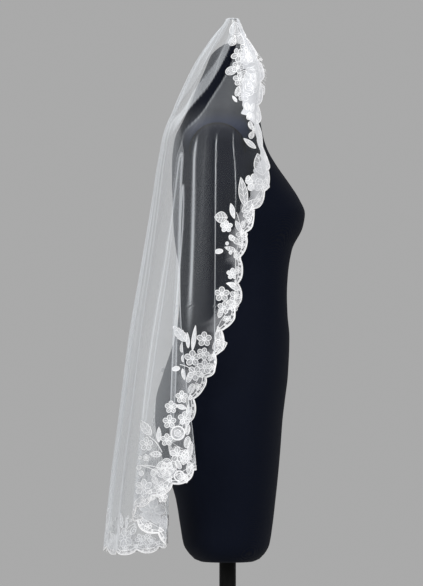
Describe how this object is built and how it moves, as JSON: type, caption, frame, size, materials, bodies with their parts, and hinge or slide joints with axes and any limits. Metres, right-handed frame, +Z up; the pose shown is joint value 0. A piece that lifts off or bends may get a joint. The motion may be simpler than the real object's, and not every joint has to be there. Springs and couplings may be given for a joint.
{
  "type": "lace-edged veil on a dress form",
  "caption": "One-tier lace-edged bridal veil gathered on a comb and draped over the neck and shoulders of a limbless dress form on a pole with a round base.",
  "frame": {"origin": "on the floor under the middle of the pole, at the centre of the base plate's underside", "axes": "+Z up; the form faces -Y, so its back is towards +Y and its right side is towards -X"},
  "size_m": [0.464, 0.4333, 1.6176],
  "materials": {
    "tulle": "sheer soft tulle",
    "lace": "matte corded lace",
    "comb": "clear",
    "jersey": "matte stretch jersey",
    "steel": "satin black"
  },
  "bodies": {
    "root": {"tulle_panel": "tulle", "lace_right": "lace", "lace_hem": "lace", "lace_left": "lace", "comb": "comb", "dress_form": "jersey", "pole": "steel", "base_plate": "steel"}
  },
  "joints": []
}
